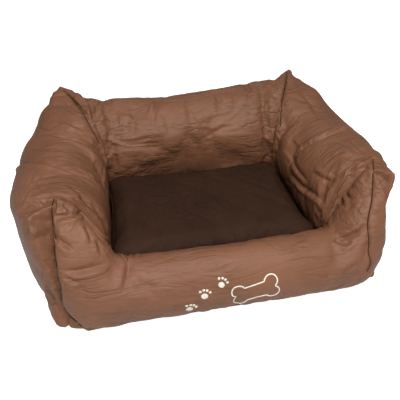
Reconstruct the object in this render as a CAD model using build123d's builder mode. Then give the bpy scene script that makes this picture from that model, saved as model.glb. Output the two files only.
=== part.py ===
"""A sofa bed for a small dog: four stuffed bolsters sewn round a base sheet, with a loose zipped cushion inside.

Millimetres. +Z is up, -Y is the low front edge that the dog steps over, +X is the right arm seen from the
front. The origin is on the floor, under the middle of the bed.
"""

import os
from math import atan2, degrees, hypot, sqrt

from build123d import *

# Overall size, and how far in from it the base sheet ends
bed_width = 800.0
bed_depth = 604.0
base_side_in = 62.0
base_front_in = 27.0
base_back_in = 63.0
base_corner_radius = 96.0

# Bolsters, each measured across its fattest part and up to its crest in the middle of its run
arm_width = 184.0
arm_height = 208.0
back_height = 224.0
tall_waist = 106.0
front_width = 112.0
front_height = 128.0
front_waist = 60.0
outer_sweep_radius = 590.0
outer_sweep_along = 66.0
outer_sweep_clear = 3.0

# Cloth, filling and the fits between them
sheet_thickness = 2.0
cloth = 1.2
fit_gap = 0.8
sunk = 150.0

# Seam points, measured in from the bed's sides, front and back. The ear is the front panel's raised corner and
# the tip is the pointed corner at the back.
ear_in = 114.0
ear_back = 126.0
ear_height = 244.0
seam_foot_in = 97.0
seam_foot_back = 40.0
tip_in = 100.0
tip_front = 16.0
tip_height = 243.0
tip_root_in = 152.0
tip_root_front = 100.0
tip_root_height = 140.0
tip_root_radius = 106.0
tip_taper = 35.5
tip_sides = 8

# How the line that each bolster's inner flank follows rises and bends, from the well's corners
arm_front_lift = 30.0
arm_rise_length = 100.0
arm_lift = 5.0
arm_bend_before = 18.0
arm_turn_in = 96.0
arm_turn_back = 138.0
arm_back_lift = 26.0
back_bend_in = 20.0
back_lift = 2.0
back_reach = 114.0
back_lean = 18.0
back_end_lift = 18.0
front_bend_out = 34.0
front_reach = 134.0
front_lean = 78.0
front_rise = 172.0
path_overlap = 90.0

# Cushion, from its underside to its crown, and how far its outline is drawn in at each height
cushion_clearance = 4.0
cushion_corner_radius = 45.0
cushion_bottom_crown = 11.0
cushion_bottom_in = 11.0
cushion_welt = 6.0
cushion_waist_in = 8.0
cushion_border_height = 44.0
crown_shoulder_rise = 16.0
crown_shoulder_in = 9.0
crown_rise = 27.0
crown_in = 36.0

# Zip fastener, the same in section on the cushion and on the back bolster
cushion_zip_length = 260.0
back_zip_length = 260.0
tooth_pitch = 8.0
tooth_length = 3.6
tooth_thickness = 2.4
tooth_reach = 1.0
bead_width = 0.7
tape_half_gap = 1.8
tape_thickness = 0.8
slit_height = 14.0
groove_depth = 6.0
stop_length = 4.0
placket_depth = 8.0
placket_height = 26.0
placket_margin = 12.0
placket_at = 88.0

# Zip slider and its pull
slider_length = 14.0
slider_front_half = 5.2
slider_tail_half = 4.2
slider_corner = 1.4
slider_plate = 1.2
channel_height = 3.2
channel_front_half = 4.2
channel_tail_half = 2.9
tape_slot = 1.4
wedge_length = 6.0
wedge_half = 1.4
ear_thickness = 1.1
ear_radius = 1.9
pin_radius = 0.8
pin_rise = 2.1
bore_clearance = 0.05
barrel_radius = 1.7
barrel_half = 2.3
barrel_side_gap = 0.2
pull_length = 20.0
pull_thickness = 1.6
pull_half_width = 3.6
pull_neck_half = 1.6
pull_hole_half = 1.5
pull_hole_length = 8.0
pull_hole_inset = 3.4
slider_end_gap = 0.3

# Shares of a bolster's own section
crest_share = 0.48
roundness_share = 0.90
outer_tuck_share = 0.34
inner_tuck_share = 0.19
front_inner_tuck_share = 0.12
front_outer_tuck_share = 0.27

half_width = bed_width / 2
half_depth = bed_depth / 2
arm_inner = half_width - arm_width
back_inner = half_depth - arm_width
front_inner = half_depth - front_width
ear_across = half_width - ear_in
ear_along = half_depth - ear_back
seam_foot_across = half_width - seam_foot_in
seam_foot_along = half_depth - seam_foot_back
tip_across = half_width - tip_in
tip_along = half_depth - tip_front
tip_root_across = half_width - tip_root_in
tip_root_along = half_depth - tip_root_front
arm_bend_along = back_inner - arm_bend_before

# Lines that the bolsters' inner flanks follow, as rows of across, along and how far the bolster is lifted
arm_path = (
    (arm_inner, -half_depth, arm_front_lift),
    (arm_inner, arm_rise_length - front_inner, arm_lift),
    (arm_inner, arm_bend_along, arm_lift),
    (arm_inner - arm_turn_in, arm_bend_along + arm_turn_back, arm_back_lift),
)
back_path = (
    (arm_inner - back_bend_in, back_inner, back_lift),
    (arm_inner + back_reach, back_inner - back_lean, back_end_lift),
)
front_path = (
    (arm_inner + front_bend_out, -front_inner, 0),
    (arm_inner + front_bend_out + front_reach, front_lean - front_inner, front_rise),
)

# The cushion's outline in rows of height and way in
cushion_seam_low = sheet_thickness + cushion_bottom_crown
cushion_seam_high = cushion_seam_low + cushion_border_height
cushion_levels = (
    (sheet_thickness, cushion_bottom_in),
    (cushion_seam_low, 0),
    (cushion_seam_low + cushion_welt, cushion_waist_in),
    (cushion_seam_high - cushion_welt, cushion_waist_in),
    (cushion_seam_high, 0),
    (cushion_seam_high + crown_shoulder_rise, crown_shoulder_in),
    (cushion_seam_high + crown_rise, crown_in),
)


def shoulder(across, up, inset):
    """Where a quarter section's flank arc and crest arc meet, seen from under the crest at the waist."""
    short = min(across, up)
    long = max(across, up)
    small = roundness_share * short
    large = (short**2 + long**2 - 2 * long * small) / (2 * (short - small))
    if across <= up:
        near, far = (across - large, 0), (0, up - small)
    else:
        near, far = (0, up - large), (across - small, 0)
    run = far[0] - near[0]
    rise = far[1] - near[1]
    reach = (large - inset) / hypot(run, rise)
    return near[0] + reach * run, near[1] + reach * rise


def tuck(overhang, drop, inset):
    """How far in from the flank its drawn-in lower arc ends, once the arc has moved in by the inset."""
    radius = (overhang**2 + drop**2) / (2 * overhang)
    return radius - sqrt((radius - inset) ** 2 - drop**2)


def section(plane, width, height, waist, tucks, inset):
    """A stuffed tube cut across, from flank to flank, with legs that run on below the floor to be cut off there."""
    crest = crest_share * width
    foot = sheet_thickness
    inner_foot = tuck(tucks[0] * width, waist - foot, inset)
    outer_foot = width - tuck(tucks[1] * width, waist - foot, inset)
    out_across, out_up = shoulder(width - crest, height - waist, inset)
    in_across, in_up = shoulder(crest, height - waist, inset)
    with BuildSketch(plane) as face:
        with BuildLine():
            Polyline((inner_foot, foot), (inner_foot, -sunk), (outer_foot, -sunk), (outer_foot, foot))
            TangentArc((width - inset, waist), (outer_foot, foot), tangent=(0, -1))
            TangentArc((width - inset, waist), (crest + out_across, waist + out_up), tangent=(0, 1))
            TangentArc((crest, height - inset), (crest + out_across, waist + out_up), tangent=(1, 0))
            TangentArc((crest, height - inset), (crest - in_across, waist + in_up), tangent=(-1, 0))
            TangentArc((inset, waist), (crest - in_across, waist + in_up), tangent=(0, 1))
            TangentArc((inset, waist), (inner_foot, foot), tangent=(0, -1))
        make_face()
    return face.sketch


def both_sides(path):
    """A path's own half on the right, run on into its mirror image on the left."""
    return [(-across, along, up) for across, along, up in path[::-1]] + list(path)


def tube(path, width, height, waist, tucks, inset):
    """Straight stretches of a bolster along its path, upright in the middle one and mitred where the path bends."""
    points = [Vector(*row) for row in path]
    ways = [(end - start).normalized() for start, end in zip(points, points[1:])]
    middle = len(ways) // 2
    level = {middle: ways[middle].cross(Vector(0, 0, 1)).normalized()}
    for index in list(range(middle + 1, len(ways))) + list(range(middle - 1, -1, -1)):
        near = index - 1 if index > middle else index + 1
        fold = (ways[index] + ways[near]).normalized()
        level[index] = level[near] - fold * (2 * level[near].dot(fold))
        level[index] = level[index] if level[index].dot(level[near]) > 0 else -level[index]
    with BuildPart() as run:
        for index, way in enumerate(ways):
            length = (points[index + 1] - points[index]).length + 2 * path_overlap
            plane = Plane(origin=points[index] - way * path_overlap, x_dir=level[index], z_dir=-way)
            with BuildPart(mode=Mode.PRIVATE) as stretch:
                extrude(section(plane, width, height, waist, tucks, inset), amount=length, dir=way)
                if index > 0:
                    split(bisect_by=Plane(origin=points[index], z_dir=way + ways[index - 1]), keep=Keep.TOP)
                if index < len(ways) - 1:
                    split(bisect_by=Plane(origin=points[index + 1], z_dir=way + ways[index + 1]), keep=Keep.BOTTOM)
            add(stretch.part)
    return run.part


def back_seam(side, inset):
    """The upright plane between an arm and the back, from the corner of the well to the tip."""
    run = tip_across - arm_inner
    rise = tip_along - back_inner
    return Plane(origin=(side * arm_inner, back_inner, 0), z_dir=(side * rise, -run, 0)).offset(inset)


def front_seam(side, inset):
    """The leaning plane between an arm and the front panel, through the well's corner, the ear and the foot."""
    corner = Vector(side * arm_inner, -front_inner, front_waist)
    ear = Vector(side * ear_across, -ear_along, ear_height)
    seam_foot = Vector(side * seam_foot_across, -seam_foot_along, sheet_thickness)
    way = (ear - corner).cross(seam_foot - corner) * side
    return Plane(origin=corner, z_dir=way).offset(inset)


def front_end(side, inset):
    """The plane that closes the front panel's end, leaning in from the foot of its seam up to the ear."""
    seam_foot = Vector(side * seam_foot_across, 0, sheet_thickness)
    way = Vector(ear_height - sheet_thickness, 0, seam_foot_across - ear_across)
    return Plane(origin=seam_foot, z_dir=(side * way.X, 0, way.Z)).offset(-inset)


def tip(side, inset):
    """The pointed corner that the seam pulls the cloth up into."""
    root = Vector(side * tip_root_across, tip_root_along, tip_root_height)
    way = Vector(side * tip_across, tip_along, tip_height) - root
    with BuildPart() as point:
        with BuildSketch(Plane(origin=root, z_dir=way)):
            RegularPolygon(tip_root_radius - inset, tip_sides)
        extrude(amount=way.length - inset, taper=tip_taper)
    return point.part


def outer_sweep(side, inset):
    """An upright round column whose side is the sweep that the arm's outside follows towards the front."""
    with BuildPart() as column:
        with BuildSketch(Plane.XY.offset(-sunk)):
            with Locations((side * (half_width + outer_sweep_clear - outer_sweep_radius), outer_sweep_along)):
                Circle(outer_sweep_radius - inset)
        extrude(amount=bed_depth)
    return column.part


def arm_form(inset, floor):
    """The right arm, moved in all over by the inset and cut off at the floor."""
    tucks = (inner_tuck_share, outer_tuck_share)
    with BuildPart() as form:
        add(tube(arm_path, arm_width, arm_height, tall_waist, tucks, inset))
        add(tip(1, inset))
        split(bisect_by=back_seam(1, inset), keep=Keep.TOP)
        split(bisect_by=front_seam(1, inset), keep=Keep.TOP)
        split(bisect_by=Plane.XY.offset(floor), keep=Keep.TOP)
        add(outer_sweep(1, inset), mode=Mode.INTERSECT)
    return form.part


def back_form(inset, floor):
    """The back bolster, moved in all over by the inset, with the sunk placket of its zip at the rear."""
    tucks = (inner_tuck_share, outer_tuck_share)
    with BuildPart() as form:
        add(tube(both_sides(back_path)[::-1], arm_width, back_height, tall_waist, tucks, inset))
        for side in (1, -1):
            add(tip(side, inset))
        for side in (1, -1):
            split(bisect_by=back_seam(side, -inset), keep=Keep.BOTTOM)
        split(bisect_by=Plane.XY.offset(floor), keep=Keep.TOP)
        with BuildSketch(Plane.XZ.offset(placket_depth + inset - half_depth)):
            with Locations((0, placket_at)):
                Rectangle(back_zip_length + 2 * (placket_margin + inset), placket_height + 2 * inset)
        extrude(amount=-placket_height, mode=Mode.SUBTRACT)
    return form.part


def front_form(inset, floor):
    """The low front bolster with its two ears, which rise to close the front ends of the arms."""
    tucks = (front_inner_tuck_share, front_outer_tuck_share)
    with BuildPart() as form:
        add(tube(both_sides(front_path), front_width, front_height, front_waist, tucks, inset))
        for side in (1, -1):
            split(bisect_by=front_seam(side, -inset), keep=Keep.BOTTOM)
            split(bisect_by=front_end(side, inset), keep=Keep.BOTTOM)
        split(bisect_by=Plane.XY.offset(floor), keep=Keep.TOP)
    return form.part


def cushion_form(levels, inset):
    """The cushion, moved in all over by the inset: crowned, with sides drawn in between its two seams."""
    with BuildPart() as form:
        for (low, low_in), (high, high_in) in zip(levels, levels[1:]):
            start = low + inset if low == cushion_levels[0][0] else low - inset * (low > cushion_seam_high)
            end = high - inset * (high > cushion_seam_high)
            way_in = low_in + inset
            with BuildSketch(Plane((0, cushion_along, start))):
                RectangleRounded(
                    cushion_width - 2 * way_in, cushion_depth - 2 * way_in, cushion_corner_radius - way_in
                )
            extrude(amount=end - start, taper=degrees(atan2(high_in - low_in, end - start)))
    return form.part


def zip_slit(place, length, height, depth):
    """The long opening that a zip fills, or the groove behind it."""
    return place * Box(length, height, 2 * depth)


def zip_tape(length, side):
    """One of the two strips that the teeth sit on, between its bead and the edge of the slit."""
    inner = tape_half_gap + bead_width
    outer = slit_height / 2
    with BuildPart() as tape:
        with BuildSketch(Plane.XY.offset(-tape_thickness / 2)):
            with Locations((0, side * (inner + outer) / 2)):
                Rectangle(length, outer - inner)
        extrude(amount=tape_thickness)
    return tape.part


def tooth_row(length, side):
    """One row of teeth on the bead that ties them, closed with the other row half a pitch away."""
    first = stop_length - length / 2
    last = slider_rest(length)
    count = int((last - first) / tooth_pitch - (side + 1) / 4)
    start = first + tooth_pitch * (2 - side) / 4
    inner = (tape_half_gap + bead_width - tooth_reach) / 2
    with BuildPart() as row:
        with BuildSketch(Plane.XY.offset(-tooth_thickness / 2)):
            with Locations((0, side * (tape_half_gap + bead_width / 2))):
                Rectangle(length, bead_width)
            for index in range(count):
                with Locations((start + tooth_pitch * index, side * inner)):
                    Rectangle(tooth_length, tape_half_gap + bead_width + tooth_reach)
        extrude(amount=tooth_thickness)
    return row.part


def zip_stop(length, end):
    """The block that the slider runs up against at one end of the zip."""
    with BuildPart() as stop:
        with BuildSketch(Plane.XY.offset(-tooth_thickness / 2)):
            with Locations((end * (length - stop_length) / 2, 0)):
                Rectangle(stop_length, 2 * tape_half_gap)
        extrude(amount=tooth_thickness)
    return stop.part


def slider_rest(length):
    """Where the middle of the slider is when the zip is closed."""
    return (length - slider_length) / 2 - stop_length - slider_end_gap


def slider_outline(front, tail):
    """The slider from above: wide at the mouth, narrow at the tail that the closed teeth leave by."""
    with BuildSketch() as outline:
        Polygon(
            (-slider_length / 2, -tail),
            (slider_length / 2, -front),
            (slider_length / 2, front),
            (-slider_length / 2, tail),
            align=None,
        )
        chamfer(outline.vertices(), slider_corner)
    return outline.sketch


def slider_channel():
    """The way through the slider for the two rows of teeth."""
    reach = slider_length / 2 + slider_corner
    with BuildSketch() as way:
        Polygon(
            (-reach, -channel_tail_half),
            (reach, -channel_front_half),
            (reach, channel_front_half),
            (-reach, channel_tail_half),
            align=None,
        )
    return way.sketch


def zip_slider():
    """Two plates joined by a wedge, with side walls slotted for the tape, and a pin between two ears for the pull."""
    plate_top = channel_height / 2 + slider_plate
    with BuildPart() as slider:
        extrude(slider_outline(slider_front_half, slider_tail_half), amount=plate_top, both=True)
        extrude(slider_channel(), amount=channel_height / 2, both=True, mode=Mode.SUBTRACT)
        Box(2 * slider_length, 2 * slider_length, tape_slot, mode=Mode.SUBTRACT)
        with BuildSketch():
            Polygon((0, 0), (wedge_length / 2, -wedge_half), (wedge_length, 0), (wedge_length / 2, wedge_half), align=None)
        extrude(amount=channel_height / 2, both=True)
        for side in (1, -1):
            with BuildSketch(Plane.XZ.offset(side * (barrel_half + barrel_side_gap))):
                with BuildLine():
                    Line((-ear_radius, plate_top), (ear_radius, plate_top))
                    Line((ear_radius, plate_top), (ear_radius, plate_top + pin_rise))
                    ThreePointArc(
                        (ear_radius, plate_top + pin_rise),
                        (0, plate_top + pin_rise + ear_radius),
                        (-ear_radius, plate_top + pin_rise),
                    )
                    Line((-ear_radius, plate_top + pin_rise), (-ear_radius, plate_top))
                make_face()
            extrude(amount=side * ear_thickness)
        with BuildSketch(Plane.XZ):
            with Locations((0, plate_top + pin_rise)):
                Circle(pin_radius)
        extrude(amount=barrel_half + barrel_side_gap, both=True)
    return slider.part


def zip_pull():
    """A flat tab on a barrel that turns on the slider's pin, lying back along the closed teeth."""
    pin_height = channel_height / 2 + slider_plate + pin_rise
    with BuildPart() as pull:
        with BuildSketch(Plane.XY.offset(pin_height - pull_thickness / 2)):
            with Locations((-pull_length / 2, 0)):
                Rectangle(pull_length, 2 * pull_half_width)
            with Locations((-barrel_radius, 0)):
                Rectangle(4 * barrel_radius, 4 * pull_half_width, mode=Mode.SUBTRACT)
            with Locations((-2 * barrel_radius, 0)):
                Rectangle(4 * barrel_radius, 2 * pull_neck_half)
            with Locations((pull_hole_inset + pull_hole_length / 2 - pull_length, 0)):
                Rectangle(pull_hole_length, 2 * pull_hole_half, mode=Mode.SUBTRACT)
        extrude(amount=pull_thickness)
        with BuildSketch(Plane.XZ):
            with Locations((0, pin_height)):
                Circle(barrel_radius)
        extrude(amount=barrel_half, both=True)
        with BuildSketch(Plane.XZ):
            with Locations((0, pin_height)):
                Circle(pin_radius + bore_clearance)
        extrude(amount=2 * barrel_half, both=True, mode=Mode.SUBTRACT)
    return pull.part


def write(part, name):
    """Writes one piece under its own name."""
    part.label = name
    export_step(part, f"parts/{name}.step")


cushion_width = 2 * (arm_inner - cushion_clearance)
cushion_depth = back_inner + front_inner - 2 * cushion_clearance
cushion_along = (back_inner - front_inner) / 2
filling_rows = cushion_levels[:2] + cushion_levels[5:]
filling_levels = [(height, max(way_in, cushion_waist_in)) for height, way_in in filling_rows]
cushion_zip_height = (cushion_seam_low + cushion_seam_high) / 2
cushion_zip_face = cushion_along + cushion_depth / 2 - cushion_waist_in
back_zip_face = half_depth - placket_depth
cushion_zip = Plane(origin=(0, cushion_zip_face - cloth / 2, cushion_zip_height), x_dir=(-1, 0, 0), z_dir=(0, 1, 0))
back_zip = Plane(origin=(0, back_zip_face - cloth / 2, placket_at), x_dir=(-1, 0, 0), z_dir=(0, 1, 0))
cushion_slit = zip_slit(cushion_zip, cushion_zip_length, slit_height, 2 * cloth)
cushion_groove = zip_slit(cushion_zip, cushion_zip_length, slit_height, groove_depth)
back_slit = zip_slit(back_zip, back_zip_length, slit_height, 2 * cloth)
back_groove = zip_slit(back_zip, back_zip_length, slit_height, groove_depth)

os.makedirs("parts", exist_ok=True)

# The base: one coated sheet under everything
with BuildPart() as base_sheet:
    with BuildSketch():
        with Locations((0, (base_front_in - base_back_in) / 2)):
            base_depth = bed_depth - base_front_in - base_back_in
            RectangleRounded(bed_width - 2 * base_side_in, base_depth, base_corner_radius)
    extrude(amount=sheet_thickness)
    for side in (1, -1):
        add(outer_sweep(side, fit_gap), mode=Mode.INTERSECT)
write(base_sheet.part, "base_sheet")

# The right arm: a cloth cover that is open where it is sewn to the sheet, and its stuffing
with BuildPart() as right_arm_cover:
    add(arm_form(0, sheet_thickness))
    add(arm_form(cloth, -sheet_thickness), mode=Mode.SUBTRACT)
write(right_arm_cover.part, "right_arm_cover")
with BuildPart() as right_arm_filling:
    add(arm_form(cloth + fit_gap, sheet_thickness + fit_gap))
write(right_arm_filling.part, "right_arm_filling")

# The left arm is the right one's mirror image
with BuildPart() as left_arm_cover:
    add(mirror(right_arm_cover.part, about=Plane.YZ))
write(left_arm_cover.part, "left_arm_cover")
with BuildPart() as left_arm_filling:
    add(mirror(right_arm_filling.part, about=Plane.YZ))
write(left_arm_filling.part, "left_arm_filling")

# The back bolster, with the slit for its zip in the sunk placket
with BuildPart() as back_cover:
    add(back_form(0, sheet_thickness))
    add(back_form(cloth, -sheet_thickness), mode=Mode.SUBTRACT)
    add(back_slit, mode=Mode.SUBTRACT)
write(back_cover.part, "back_cover")
with BuildPart() as back_filling:
    add(back_form(cloth + fit_gap, sheet_thickness + fit_gap))
    add(back_groove, mode=Mode.SUBTRACT)
write(back_filling.part, "back_filling")

# The low front bolster with its ears
with BuildPart() as front_cover:
    add(front_form(0, sheet_thickness))
    add(front_form(cloth, -sheet_thickness), mode=Mode.SUBTRACT)
write(front_cover.part, "front_cover")
with BuildPart() as front_filling:
    add(front_form(cloth + fit_gap, sheet_thickness + fit_gap))
write(front_filling.part, "front_filling")

# The cushion's cloth: a crowned top, a drawn-in border and a bottom, cut from one shell at its two seams
with BuildPart() as cushion_shell:
    add(cushion_form(cushion_levels, 0))
    add(cushion_form(cushion_levels, cloth), mode=Mode.SUBTRACT)
cushion_low = Plane.XY.offset(cushion_seam_low)
cushion_high = Plane.XY.offset(cushion_seam_high)
with BuildPart() as cushion_bottom:
    add(split(cushion_shell.part, bisect_by=cushion_low, keep=Keep.BOTTOM))
write(cushion_bottom.part, "cushion_bottom")
with BuildPart() as cushion_top:
    add(split(cushion_shell.part, bisect_by=cushion_high, keep=Keep.TOP))
write(cushion_top.part, "cushion_top")
with BuildPart() as cushion_border:
    add(split(cushion_shell.part, bisect_by=cushion_low, keep=Keep.TOP))
    split(bisect_by=cushion_high, keep=Keep.BOTTOM)
    add(cushion_slit, mode=Mode.SUBTRACT)
write(cushion_border.part, "cushion_border")

# Its stuffing, grooved behind the zip so that nothing catches in the teeth
with BuildPart() as cushion_filling:
    add(cushion_form(filling_levels, cloth + fit_gap))
    add(cushion_groove, mode=Mode.SUBTRACT)
write(cushion_filling.part, "cushion_filling")

# The cushion's zip, closed, in the border's rear
with BuildPart() as cushion_zip_tape_upper:
    add(cushion_zip * zip_tape(cushion_zip_length, 1))
write(cushion_zip_tape_upper.part, "cushion_zip_tape_upper")
with BuildPart() as cushion_zip_tape_lower:
    add(cushion_zip * zip_tape(cushion_zip_length, -1))
write(cushion_zip_tape_lower.part, "cushion_zip_tape_lower")
with BuildPart() as cushion_zip_teeth_upper:
    add(cushion_zip * tooth_row(cushion_zip_length, 1))
write(cushion_zip_teeth_upper.part, "cushion_zip_teeth_upper")
with BuildPart() as cushion_zip_teeth_lower:
    add(cushion_zip * tooth_row(cushion_zip_length, -1))
write(cushion_zip_teeth_lower.part, "cushion_zip_teeth_lower")
with BuildPart() as cushion_zip_top_stop:
    add(cushion_zip * zip_stop(cushion_zip_length, 1))
write(cushion_zip_top_stop.part, "cushion_zip_top_stop")
with BuildPart() as cushion_zip_end_stop:
    add(cushion_zip * zip_stop(cushion_zip_length, -1))
write(cushion_zip_end_stop.part, "cushion_zip_end_stop")
cushion_slider_place = cushion_zip * Location((slider_rest(cushion_zip_length), 0, 0))
with BuildPart() as cushion_zip_slider:
    add(cushion_slider_place * zip_slider())
write(cushion_zip_slider.part, "cushion_zip_slider")
with BuildPart() as cushion_zip_pull:
    add(cushion_slider_place * zip_pull())
write(cushion_zip_pull.part, "cushion_zip_pull")

# The back bolster's zip, closed, in its placket
with BuildPart() as back_zip_tape_upper:
    add(back_zip * zip_tape(back_zip_length, 1))
write(back_zip_tape_upper.part, "back_zip_tape_upper")
with BuildPart() as back_zip_tape_lower:
    add(back_zip * zip_tape(back_zip_length, -1))
write(back_zip_tape_lower.part, "back_zip_tape_lower")
with BuildPart() as back_zip_teeth_upper:
    add(back_zip * tooth_row(back_zip_length, 1))
write(back_zip_teeth_upper.part, "back_zip_teeth_upper")
with BuildPart() as back_zip_teeth_lower:
    add(back_zip * tooth_row(back_zip_length, -1))
write(back_zip_teeth_lower.part, "back_zip_teeth_lower")
with BuildPart() as back_zip_top_stop:
    add(back_zip * zip_stop(back_zip_length, 1))
write(back_zip_top_stop.part, "back_zip_top_stop")
with BuildPart() as back_zip_end_stop:
    add(back_zip * zip_stop(back_zip_length, -1))
write(back_zip_end_stop.part, "back_zip_end_stop")
back_slider_place = back_zip * Location((slider_rest(back_zip_length), 0, 0))
with BuildPart() as back_zip_slider:
    add(back_slider_place * zip_slider())
write(back_zip_slider.part, "back_zip_slider")
with BuildPart() as back_zip_pull:
    add(back_slider_place * zip_pull())
write(back_zip_pull.part, "back_zip_pull")
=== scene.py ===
"""The sofa bed as it looks.

Stuffed bolsters of brown nylon with pointed corners, a loose cushion with its zip, and a zip in the back.
"""

import math

import bmesh
import bpy
import numpy as np
from mathutils import Matrix, Vector, noise
from mathutils.bvhtree import BVHTree


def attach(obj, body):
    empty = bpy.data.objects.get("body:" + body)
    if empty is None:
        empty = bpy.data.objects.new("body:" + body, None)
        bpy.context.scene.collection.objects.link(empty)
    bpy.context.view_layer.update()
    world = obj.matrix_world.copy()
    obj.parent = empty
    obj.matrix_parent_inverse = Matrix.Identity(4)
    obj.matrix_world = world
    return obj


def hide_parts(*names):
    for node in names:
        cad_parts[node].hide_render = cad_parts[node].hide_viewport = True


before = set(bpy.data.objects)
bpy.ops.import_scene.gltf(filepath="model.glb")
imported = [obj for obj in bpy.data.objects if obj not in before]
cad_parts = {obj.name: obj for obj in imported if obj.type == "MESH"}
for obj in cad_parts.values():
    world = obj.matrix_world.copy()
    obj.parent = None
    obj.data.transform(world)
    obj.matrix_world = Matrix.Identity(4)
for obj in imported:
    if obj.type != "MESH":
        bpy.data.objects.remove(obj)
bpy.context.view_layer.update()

# Camera: in front of the bed, a little to its left and well above it. Its place, its turn and its lens were
# fitted to the photograph.
azimuth = math.radians(-11.51)
height_angle = math.radians(37.17)
roll = math.radians(0.29)
camera_distance = 1.02095
picture_size = 400
aim = Vector((0.00082, 0.02314, 0.03561))
back = Vector(
    (
        math.sin(azimuth) * math.cos(height_angle),
        -math.cos(azimuth) * math.cos(height_angle),
        math.sin(height_angle),
    )
)
bpy.ops.object.camera_add(location=aim + camera_distance * back)
camera = bpy.context.object
camera.rotation_mode = "QUATERNION"
upright = back.to_track_quat("Z", "Y")
camera.rotation_quaternion = upright @ Matrix.Rotation(roll, 3, "Z").to_quaternion()
camera.data.sensor_width = 36
camera.data.lens = 37.865
bpy.context.scene.camera = camera
bpy.context.scene.view_settings.view_transform = "Standard"
bpy.context.view_layer.update()

# Light: two large soft boxes high in front, and weak ones on the right, on the left and behind, all of them
# turned to the bed
lit_point = Vector((0, 0, 0.1))
for name, place, size, power, tint in (
    ("key", (-0.2, -1.4, 1.5), 1.0, 17, (1.0, 0.97, 0.93)),
    ("top", (-0.1, -0.85, 1.85), 1.1, 34, (1.0, 0.98, 0.95)),
    ("side_right", (2.0, -0.9, 1.2), 1.2, 2.5, (1.0, 0.98, 0.96)),
    ("side_left", (-2.1, 0.1, 1.4), 1.2, 1, (1.0, 0.98, 0.97)),
    ("rear", (0.2, 1.8, 1.8), 1.4, 4, (1.0, 1.0, 1.0)),
):
    bpy.ops.object.light_add(type="AREA", location=place)
    light = bpy.context.object
    light.name = name
    light.data.size = size
    light.data.energy = power
    light.data.color = tint
    light.rotation_euler = (lit_point - Vector(place)).to_track_quat("-Z", "Y").to_euler()


# Surroundings: white where the camera looks past the bed, and for all else a dim, slightly warm light from
# every side
def feed(tree, node, inputs):
    """Sets each of these inputs of a shader node to a value, or to another node's output."""
    for name, value in inputs.items():
        if isinstance(value, bpy.types.NodeSocket):
            tree.links.new(value, node.inputs[name])
        else:
            node.inputs[name].default_value = value


def add_node(tree, kind, inputs, operation=None):
    """A new shader node of this kind, fed with these inputs."""
    node = tree.nodes.new("ShaderNode" + kind)
    if operation:
        node.operation = operation
    feed(tree, node, inputs)
    return node


world = bpy.data.worlds.new("room")
bpy.context.scene.world = world
world.use_nodes = True
tree = world.node_tree
tree.nodes.clear()
path = add_node(tree, "LightPath", {})
rays = {0: path.outputs["Is Camera Ray"], 1: path.outputs["Is Transmission Ray"]}
direct = add_node(tree, "Math", rays, "MAXIMUM")
backdrop = add_node(tree, "Background", {"Color": (1, 1, 1, 1)})
room_light = add_node(tree, "Background", {"Color": (1.0, 0.97, 0.95, 1), "Strength": 0.14})
mix = add_node(
    tree,
    "MixShader",
    {"Fac": direct.outputs[0], 1: room_light.outputs["Background"], 2: backdrop.outputs["Background"]},
)
add_node(tree, "OutputWorld", {"Surface": mix.outputs["Shader"]})


# Floor: pale and matt, and bright for the camera only, so that nothing but the shadow under the bed shows
# on it
def new_look(name):
    """A new material, its node tree and its shader."""
    look = bpy.data.materials.new(name)
    look.use_nodes = True
    return look, look.node_tree, look.node_tree.nodes["Principled BSDF"]


bpy.ops.mesh.primitive_plane_add(size=12, location=(0, 0, -0.0005))
floor = bpy.context.object
floor.name = "floor"
floor_look, tree, shader = new_look("floor")
path = add_node(tree, "LightPath", {})
glow = add_node(tree, "Math", {0: path.outputs["Is Camera Ray"], 1: 0.9}, "MULTIPLY")
feed(tree, shader, {"Base Color": (0.7, 0.7, 0.7, 1), "Roughness": 0.9})
feed(tree, shader, {"Emission Color": (1, 1, 1, 1), "Emission Strength": glow.outputs[0]})
floor.data.materials.append(floor_look)


# The base sheet: one piece of coated brown cloth under everything, that all the bolsters are sewn to. Its
# weave is coarser than theirs, and it shows where the cushion lifts out.
def shades(tree, amount, dark, light, start=0.0, end=1.0):
    """A colour that goes from the dark to the light shade as the amount goes from start to end."""
    ramp = add_node(tree, "ValToRGB", {"Fac": amount})
    ramp.color_ramp.elements[0].position = start
    ramp.color_ramp.elements[0].color = (*dark, 1)
    ramp.color_ramp.elements[1].position = end
    ramp.color_ramp.elements[1].color = (*light, 1)
    return ramp.outputs["Color"]


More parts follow.
